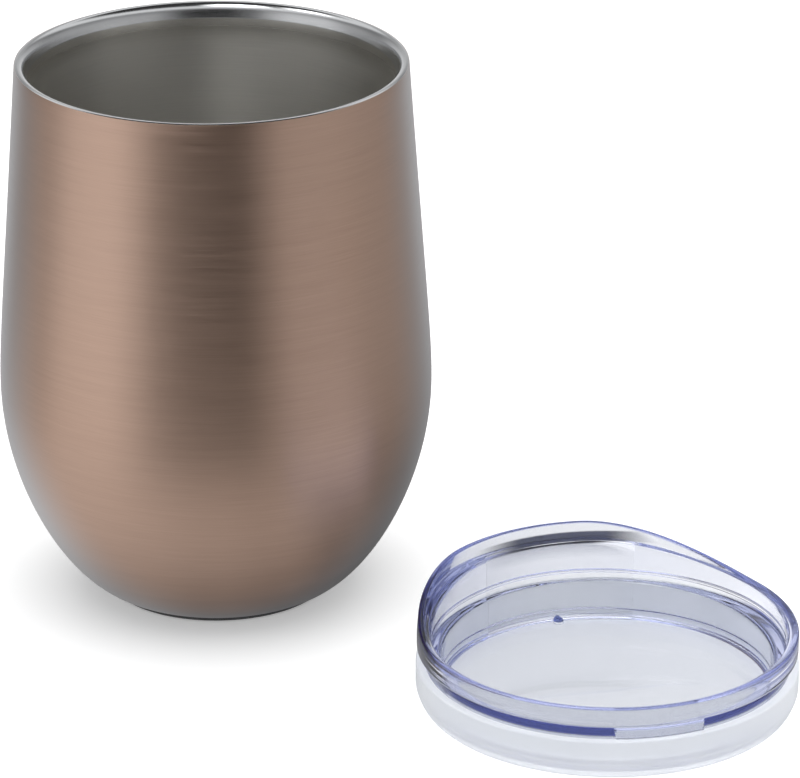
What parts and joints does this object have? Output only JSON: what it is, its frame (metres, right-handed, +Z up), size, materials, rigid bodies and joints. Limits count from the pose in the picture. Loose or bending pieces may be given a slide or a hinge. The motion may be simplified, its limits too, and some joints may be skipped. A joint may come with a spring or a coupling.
{
  "type": "insulated tumbler with lid",
  "caption": "Rounded stemless double-wall vacuum tumbler in copper-coloured steel, with a clear press-in sip lid and its silicone seal lying beside it.",
  "frame": {"origin": "centre of the tumbler's base, on the surface that it stands on", "axes": "+Z up along the tumbler's axis; the lid lies beside the tumbler towards +X and -Y"},
  "size_m": [0.1568, 0.1371, 0.1103],
  "materials": {
    "copper_coat": "satin",
    "steel": "satin",
    "copper_foil": "gloss",
    "braze": "matte",
    "getter_alloy": "matte",
    "base_silicone": "matte",
    "clear_plastic": "gloss",
    "clear_silicone": "satin"
  },
  "bodies": {
    "tumbler": {"outer_shell": "copper_coat", "inner_liner": "steel", "radiation_foil": "copper_foil", "vacuum_pan": "steel", "seal_bead": "braze", "getter_pill": "getter_alloy", "getter_clip": "steel", "base_cover": "steel", "base_pad": "base_silicone"},
    "lid": {"lid_body": "clear_plastic", "lid_seal": "clear_silicone"}
  },
  "joints": [
    {"name": "lid_lift", "type": "slide", "parent": "tumbler", "child": "lid", "axis": [0, 0, 1], "range_m": [0, 0.15]}
  ]
}
